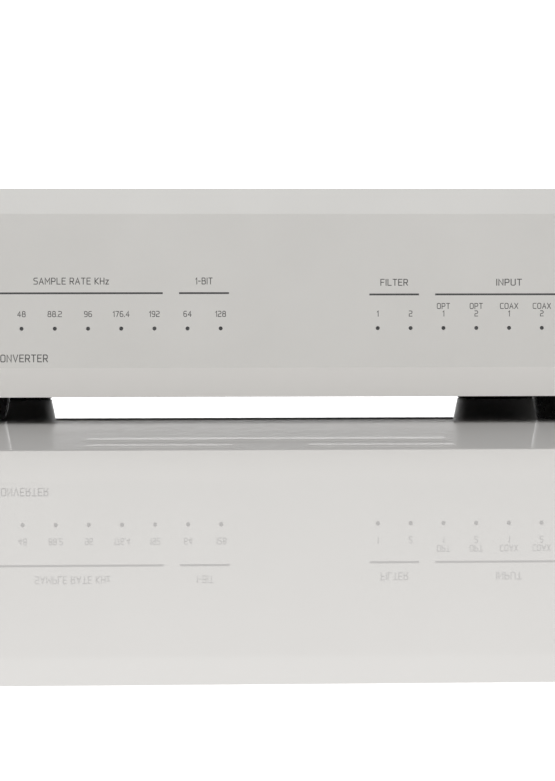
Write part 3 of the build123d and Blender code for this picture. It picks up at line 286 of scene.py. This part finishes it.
# Plain square lettering drawn with one stroke width. Each sign has a width and its strokes,
# as corner points in shares of the height of a capital. A third number rounds a corner.
ROUND = 0.22  # corner radius of the larger bowls
SOFT = 0.16  # and of the smaller ones
SIGNS = {
    "A": (0.66, [[(0, 0), (0.33, 1), (0.66, 0)], [(0.12, 0.34), (0.54, 0.34)]]),
    "B": (0.58, [
        [(0, 0), (0, 1), (0.53, 1, SOFT), (0.53, 0.52, SOFT), (0, 0.52)],
        [(0.36, 0.52), (0.58, 0.52, SOFT), (0.58, 0, SOFT), (0, 0)],
    ]),
    "C": (0.58, [[(0.58, 1), (0, 1, ROUND), (0, 0, ROUND), (0.58, 0)]]),
    "D": (0.6, [[(0, 0), (0, 1), (0.6, 1, ROUND), (0.6, 0, ROUND), (0, 0)]]),
    "E": (0.54, [[(0.54, 1), (0, 1), (0, 0), (0.54, 0)], [(0, 0.52), (0.47, 0.52)]]),
    "F": (0.54, [[(0.54, 1), (0, 1), (0, 0)], [(0, 0.5), (0.46, 0.5)]]),
    "G": (0.6, [[(0.58, 1), (0, 1, ROUND), (0, 0, ROUND), (0.6, 0), (0.6, 0.46), (0.34, 0.46)]]),
    "H": (0.6, [[(0, 0), (0, 1)], [(0.6, 0), (0.6, 1)], [(0, 0.5), (0.6, 0.5)]]),
    "I": (0.0, [[(0, 0), (0, 1)]]),
    "K": (0.56, [[(0, 0), (0, 1)], [(0.54, 1), (0.06, 0.5), (0.56, 0)]]),
    "L": (0.52, [[(0, 1), (0, 0), (0.52, 0)]]),
    "M": (0.74, [[(0, 0), (0, 1), (0.37, 0.35), (0.74, 1), (0.74, 0)]]),
    "N": (0.6, [[(0, 0), (0, 1), (0.6, 0), (0.6, 1)]]),
    "O": (0.62, [
        [(0.31, 0), (0, 0, ROUND), (0, 1, ROUND), (0.62, 1, ROUND), (0.62, 0, ROUND), (0.31, 0)],
    ]),
    "P": (0.57, [[(0, 0), (0, 1), (0.57, 1, ROUND), (0.57, 0.44, ROUND), (0, 0.44)]]),
    "R": (0.58, [
        [(0, 0), (0, 1), (0.57, 1, ROUND), (0.57, 0.44, ROUND), (0, 0.44)],
        [(0.3, 0.44), (0.58, 0)],
    ]),
    "S": (0.57, [
        [(0.54, 1), (0, 1, ROUND), (0, 0.52, ROUND), (0.57, 0.52, ROUND), (0.57, 0, ROUND), (0, 0)],
    ]),
    "T": (0.6, [[(0, 1), (0.6, 1)], [(0.3, 1), (0.3, 0)]]),
    "U": (0.6, [[(0, 1), (0, 0, ROUND), (0.6, 0, ROUND), (0.6, 1)]]),
    "V": (0.66, [[(0, 1), (0.33, 0), (0.66, 1)]]),
    "X": (0.6, [[(0, 0), (0.6, 1)], [(0, 1), (0.6, 0)]]),
    "z": (0.43, [[(0, 0.68), (0.42, 0.68), (0, 0), (0.43, 0)]]),
    "1": (0.18, [[(0, 0.8), (0.18, 1), (0.18, 0)]]),
    "2": (0.54, [
        [(0, 1), (0.54, 1, ROUND), (0.54, 0.52, ROUND), (0, 0.46, SOFT), (0, 0), (0.54, 0)],
    ]),
    "4": (0.58, [[(0.42, 0), (0.42, 1), (0, 0.3), (0.58, 0.3)]]),
    "6": (0.54, [
        [(0.48, 1), (0, 1, ROUND), (0, 0, ROUND), (0.54, 0, ROUND), (0.54, 0.54, ROUND), (0, 0.54)],
    ]),
    "7": (0.52, [[(0, 1), (0.52, 1), (0.2, 0)]]),
    "8": (0.56, [
        [(0.28, 0), (0, 0, SOFT), (0, 0.52, SOFT), (0.56, 0.52, SOFT), (0.56, 0, SOFT), (0.28, 0)],
        [(0.28, 1), (0.04, 1, SOFT), (0.04, 0.52, SOFT), (0.52, 0.52, SOFT), (0.52, 1, SOFT),
         (0.28, 1)],
    ]),
    "9": (0.54, [
        [(0.06, 0), (0.54, 0, ROUND), (0.54, 1, ROUND), (0, 1, ROUND), (0, 0.46, ROUND),
         (0.54, 0.46)],
    ]),
    ".": (0.0, [[(0, 0), (0, 0.06)]]),
    "-": (0.32, [[(0, 0.48), (0.32, 0.48)]]),
    " ": (0.16, []),
}
LETTER_GAP = 0.3  # between two signs, as a share of the height of a capital
STROKE = 0.12  # width of a stroke, as a share of the same
STROKE_END = 0.9  # a stroke runs on past its last point by this share of half its width
SHARPEST_MITRE = 0.45  # cosine that limits how far a mitred corner reaches out
ARC_STEPS = 4  # pieces to a rounded corner


def rounded(points):
    """Corner points of a stroke, with the marked corners turned into short arcs."""
    out = []
    for i, point in enumerate(points):
        here = Vector(point[:2])
        if len(point) < 3:
            out.append(here)
            continue
        before = (Vector(points[i - 1][:2]) - here).normalized() * point[2]
        after = (Vector(points[i + 1][:2]) - here).normalized() * point[2]
        for step in range(ARC_STEPS + 1):
            t = step / ARC_STEPS
            out.append(here + before * (1 - t) ** 2 + after * t**2)
    return out


def outline(points, half):
    """Pairs of points on the two sides of a stroke, `half` away from its middle line."""
    sides = []
    for i, here in enumerate(points):
        runs = []
        if i > 0:
            runs.append((here - points[i - 1]).normalized())
        if i < len(points) - 1:
            runs.append((points[i + 1] - here).normalized())
        along = sum(runs, Vector((0.0, 0.0))).normalized()
        across = Vector((-along.y, along.x))
        reach = half / max(SHARPEST_MITRE, abs(along.dot(runs[0])))
        run_on = Vector((0.0, 0.0))
        if i == 0:
            run_on = -along * half * STROKE_END
        elif i == len(points) - 1:
            run_on = along * half * STROKE_END
        sides.append((here + run_on + across * reach, here + run_on - across * reach))
    return sides


def add_box(mesh, low, high):
    corners = bmesh.ops.create_cube(mesh, size=1.0)["verts"]
    size = [b - a for a, b in zip(low, high)]
    middle = [(a + b) / 2 for a, b in zip(low, high)]
    bmesh.ops.scale(mesh, vec=size, verts=corners)
    bmesh.ops.translate(mesh, vec=middle, verts=corners)


class Print:
    """Ink on one face of the case, gathered into a single piece."""

    def __init__(self, name, face_y, facing):
        self.name = name
        self.face_y = face_y
        self.facing = facing  # -1 on the front, +1 on the back
        self.mesh = bmesh.new()

    def ink_span(self):
        """Where the ink lies along Y, from just inside the surface to just outside it."""
        near = self.face_y - self.facing * INK_SINK
        far = self.face_y + self.facing * (INK_THICK - INK_SINK)
        return min(near, far), max(near, far)

    def line(self, x_from, x_to, z):
        low_y, high_y = self.ink_span()
        low = (x_from, low_y, z - LINE_WIDTH / 2)
        high = (x_to, high_y, z + LINE_WIDTH / 2)
        add_box(self.mesh, low, high)

    def ribbon(self, sides):
        """A closed slab of ink between the two sides of a stroke."""
        rows = []
        for left, right in sides:
            row = []
            for y in self.ink_span():
                for x, z in (left, right):
                    row.append(self.mesh.verts.new((x, y, z)))
            rows.append(row)
        for a, b in zip(rows, rows[1:]):
            for first, second in ((0, 1), (1, 3), (3, 2), (2, 0)):
                self.mesh.faces.new((a[first], a[second], b[second], b[first]))
        for end in (rows[0], rows[-1]):
            self.mesh.faces.new((end[0], end[1], end[3], end[2]))

    def words(self, text, x, z, cap, align=0.5, fit=1.0):
        """Text with capitals `cap` tall, centred on height z and on x; align 1 ends it at x.

        `fit` widens or narrows the text.
        """
        unit = cap * (1 - STROKE)
        half = STROKE / (1 - STROKE) / 2
        length = sum(SIGNS[sign][0] for sign in text) + LETTER_GAP * (len(text) - 1)
        at = -length * align
        for sign in text:
            width, strokes = SIGNS[sign]
            for points in strokes:
                sides = []
                for pair in outline(rounded(points), half):
                    placed = []
                    for corner in pair:
                        run = (at + corner.x) * unit * fit
                        placed.append((x - self.facing * run, z + (corner.y - 0.5) * unit))
                    sides.append(placed)
                self.ribbon(sides)
            at += width + LETTER_GAP

    def finish(self, material, slot):
        """Makes the piece, which rides on the case."""
        bmesh.ops.recalc_face_normals(self.mesh, faces=self.mesh.faces)
        data = bpy.data.meshes.new(self.name)
        self.mesh.to_mesh(data)
        self.mesh.free()
        piece = bpy.data.objects.new(self.name, data)
        bpy.context.scene.collection.objects.link(piece)
        data.materials.append(material)
        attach(piece, "chassis")


def middle_x(node):
    low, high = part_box(node)
    return (low.x + high.x) / 2


LED_PITCH = 7.5 * MM
LED_HALF = 0.8 * MM  # half the width of one light
LED_LOW, LED_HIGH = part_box("indicator_leds")
LED_Z = (LED_LOW.z + LED_HIGH.z) / 2
RATES = ("44.1", "48", "88.2", "96", "176.4", "192")
BIT_RATES = ("64", "128")
FILTERS = ("1", "2")
INPUTS = (("OPT", "1"), ("OPT", "2"), ("COAX", "1"), ("COAX", "2"), ("PC", ""))

NUMBER_Z = LED_Z + 3.3 * MM
NUMBER_CAP = 1.35 * MM
SOCKET_Z = LED_Z + 5.0 * MM
LEFT_RULE_Z = LED_Z + 8.0 * MM
RIGHT_RULE_Z = LED_Z + 7.65 * MM
TITLE_LIFT = 2.75 * MM  # of a title above its rule
TITLE_CAP = 1.55 * MM
RULE_REACH = 1.9 * MM  # how far a rule runs beyond its outermost light
NAME_END = (-51.9 * MM, 15.0 * MM)  # right end of the line that names the unit, and its height
NAME_CAP = 1.75 * MM


def print_front():
    made = Print("front_legends", FRONT_Y, -1)
    rate_start = LED_LOW.x + LED_HALF
    select_end = LED_HIGH.x - LED_HALF
    rate_xs = [rate_start + LED_PITCH * i for i in range(len(RATES) + len(BIT_RATES))]
    selects = len(FILTERS) + len(INPUTS)
    select_xs = [select_end - LED_PITCH * i for i in reversed(range(selects))]
    for x, text in zip(rate_xs, RATES + BIT_RATES):
        made.words(text, x, NUMBER_Z, NUMBER_CAP)
    for x, text in zip(select_xs, FILTERS):
        made.words(text, x, NUMBER_Z, NUMBER_CAP)
    for x, (word, number) in zip(select_xs[len(FILTERS):], INPUTS):
        made.words(word, x, SOCKET_Z, NUMBER_CAP)
        if number:
            made.words(number, x, NUMBER_Z, NUMBER_CAP)
    # The lights under each rule, the rule's height, its title and how wide the title is set.
    groups = (
        (rate_xs[:len(RATES)], LEFT_RULE_Z, "SAMPLE RATE KHz", 1.02),
        (rate_xs[len(RATES):], LEFT_RULE_Z, "1-BIT", 0.95),
        (select_xs[:len(FILTERS)], RIGHT_RULE_Z, "FILTER", 1.04),
        (select_xs[len(FILTERS):], RIGHT_RULE_Z, "INPUT", 1.16),
    )
    for xs, z, title, fit in groups:
        made.line(xs[0] - RULE_REACH, xs[-1] + RULE_REACH, z)
        made.words(title, (xs[0] + xs[-1]) / 2, z + TITLE_LIFT, TITLE_CAP, fit=fit)
    made.words("DIGITAL TO ANALOGUE CONVERTER", *NAME_END, NAME_CAP, align=1.0)
    made.finish(DARK_INK, "black_plastic")


REAR_LABEL_Z = 35.0 * MM
REAR_TITLE_Z = 38.5 * MM
REAR_CAP = 2.0 * MM


def print_rear():
    made = Print("rear_legends", REAR_Y, 1)
    pairs = (
        ("line_sleeve_left", "line_sleeve_right", "L", "R", "LINE OUT"),
        ("coax_sleeve_1", "coax_sleeve_2", "1", "2", "COAX"),
        ("optical_socket_1", "optical_socket_2", "1", "2", "OPT"),
    )
    for first, second, first_text, second_text, title in pairs:
        first_x = middle_x(first)
        second_x = middle_x(second)
        made.words(first_text, first_x, REAR_LABEL_Z, REAR_CAP)
        made.words(second_text, second_x, REAR_LABEL_Z, REAR_CAP)
        made.words(title, (first_x + second_x) / 2, REAR_TITLE_Z, REAR_CAP)
    made.words("PC", middle_x("usb_shell"), REAR_LABEL_Z, REAR_CAP)
    made.words("DC IN", middle_x("dc_inlet_body"), REAR_LABEL_Z, REAR_CAP)
    made.finish(PALE_INK, "white_plastic")


print_front()
print_rear()


# ---------------------------------------------------------------- camera
CAMERA_PLACE = Vector((-17.61, -589.97, 21.1)) * MM
CAMERA_YAW = 2.1036  # degrees to the right
CAMERA_PITCH = 1.5995  # degrees down
CAMERA_ROLL = -0.1078  # degrees
LENS = 98.304
SENSOR = 36.0


def make_camera():
    data = bpy.data.cameras.new("camera")
    data.lens = LENS
    data.sensor_width = SENSOR
    data.clip_start = 0.01
    data.clip_end = 100.0
    camera = bpy.data.objects.new("camera", data)
    bpy.context.scene.collection.objects.link(camera)
    turn = Matrix.Rotation(math.radians(-CAMERA_YAW), 4, "Z")
    tilt = Matrix.Rotation(math.radians(90.0 - CAMERA_PITCH), 4, "X")
    roll = Matrix.Rotation(math.radians(CAMERA_ROLL), 4, "Z")
    camera.matrix_world = Matrix.Translation(CAMERA_PLACE) @ turn @ tilt @ roll
    bpy.context.scene.camera = camera


# ---------------------------------------------------------------- floor and light
FLOOR_HALF = 6.0  # half the width and depth of the sheet
RISE_START = -0.24  # Y from which the sheet rises very gently towards the viewer
RISE_END = -0.64  # Y from which it runs on level
RISE_ROWS = 100  # mesh rows along the rise
RISE_UNIT = 0.118  # the rise is RISE_HEIGHT at this distance from its start
RISE_HEIGHT = 0.0000945
RISE_POWER = 3.15
GLOSS_SHARE = 0.68  # the rest of the sheet's surface is matt
TABLE_TONE = (0.79, 0.773, 0.754)
TABLE_CLOUD = 0.005  # the tone wanders by this much


def sheet_height(y):
    """Height of the sheet, flat under the unit and bent up slightly in front of it."""
    ahead = RISE_START - max(y, RISE_END)
    if ahead <= 0.0:
        return 0.0
    return RISE_HEIGHT * (ahead / RISE_UNIT) ** RISE_POWER


def make_floor():
    """White table sheet, part glossy and part matt."""
    step = (RISE_START - RISE_END) / RISE_ROWS
    rows = [FLOOR_HALF, 0.0]
    rows += [RISE_START - step * i for i in range(RISE_ROWS + 1)]
    rows.append(-FLOOR_HALF)
    corners = [(x, y, sheet_height(y)) for y in rows for x in (-FLOOR_HALF, FLOOR_HALF)]
    faces = [(2 * i, 2 * i + 2, 2 * i + 3, 2 * i + 1) for i in range(len(rows) - 1)]
    data = bpy.data.meshes.new("floor")
    data.from_pydata(corners, [], faces)
    data.shade_smooth()
    floor = bpy.data.objects.new("floor", data)
    bpy.context.scene.collection.objects.link(floor)
    made = Surface("table", TABLE_TONE, roughness=0.004, IOR=1.5)
    darker = tuple(c - TABLE_CLOUD for c in TABLE_TONE)
    lighter = tuple(c + TABLE_CLOUD for c in TABLE_TONE)
    made.tint(made.noise(3.0, 2.0), darker, lighter)
    matt = made.node("ShaderNodeBsdfDiffuse")
    matt.inputs["Color"].default_value = (*TABLE_TONE, 1.0)
    blend = made.node("ShaderNodeMixShader")
    blend.inputs["Fac"].default_value = GLOSS_SHARE
    made.link(matt.outputs["BSDF"], blend.inputs[1])
    made.link(made.shader.outputs["BSDF"], blend.inputs[2])
    made.link(blend.outputs["Shader"], made.tree.nodes["Material Output"].inputs["Surface"])
    data.materials.append(made.material)


FRONT_LIGHT = 0.745  # brightness of the room in front of the unit
BACK_LIGHT = 2.3  # brightness of the foot of the backdrop behind it
TOP_LIGHT = 0.8  # brightness overhead
BACKDROP_TOP = 0.25  # what the upper backdrop adds to the room's brightness
# The brightness changes between these values of one part of the direction looked in.
BACKDROP_EDGE = (0.2, 0.75)  # its Y: from the room to the backdrop
BACKDROP_FOOT = (0.22, 0.5)  # its Z: from the backdrop's foot to its top
CEILING_EDGE = (0.25, 0.9)  # its Z: from the room to the ceiling


def make_world():
    """A pale studio: bright backdrop behind (+Y), softer room in front, bright ceiling."""
    world = bpy.data.worlds.new("studio")
    world.use_nodes = True
    tree = world.node_tree
    nodes, links = tree.nodes, tree.links
    background = nodes["Background"]
    where = nodes.new("ShaderNodeTexCoord")
    split = nodes.new("ShaderNodeSeparateXYZ")
    links.new(where.outputs["Generated"], split.inputs["Vector"])

    def ramp(value, low_at, high_at, low, high):
        made = nodes.new("ShaderNodeMapRange")
        made.interpolation_type = "SMOOTHSTEP"
        made.inputs["From Min"].default_value = low_at
        made.inputs["From Max"].default_value = high_at
        made.inputs["To Min"].default_value = low
        made.inputs["To Max"].default_value = high
        links.new(value, made.inputs["Value"])
        return made.outputs["Result"]

    def combine(kind, a, b):
        made = nodes.new("ShaderNodeMath")
        made.operation = kind
        links.new(a, made.inputs[0])
        links.new(b, made.inputs[1])
        return made.outputs["Value"]

    behind = ramp(split.outputs["Y"], *BACKDROP_EDGE, 0.0, 1.0)
    foot = ramp(split.outputs["Z"], *BACKDROP_FOOT, BACK_LIGHT - FRONT_LIGHT, BACKDROP_TOP)
    above = ramp(split.outputs["Z"], *CEILING_EDGE, FRONT_LIGHT, TOP_LIGHT)
    strength = combine("ADD", combine("MULTIPLY", behind, foot), above)
    links.new(strength, background.inputs["Strength"])
    background.inputs["Color"].default_value = (1.0, 1.0, 1.0, 1.0)
    bpy.context.scene.world = world


OVERHEAD_PLACE = Vector((-0.2, -0.3, 1.3))
OVERHEAD_TARGET = Vector((0.0, 0.0, 0.05))
OVERHEAD_SIZE = (1.2, 0.9)
OVERHEAD_WATTS = 2.5


def make_overhead_light():
    """A large soft light over the unit, a little in front of it and to the left."""
    data = bpy.data.lights.new("overhead", "AREA")
    data.shape = "RECTANGLE"
    data.size, data.size_y = OVERHEAD_SIZE
    data.energy = OVERHEAD_WATTS
    light = bpy.data.objects.new("overhead", data)
    bpy.context.scene.collection.objects.link(light)
    light.location = OVERHEAD_PLACE
    aim = OVERHEAD_TARGET - OVERHEAD_PLACE
    light.rotation_euler = aim.to_track_quat("-Z", "Y").to_euler()


make_camera()
make_floor()
make_world()
make_overhead_light()
bpy.context.scene.view_settings.view_transform = "Standard"
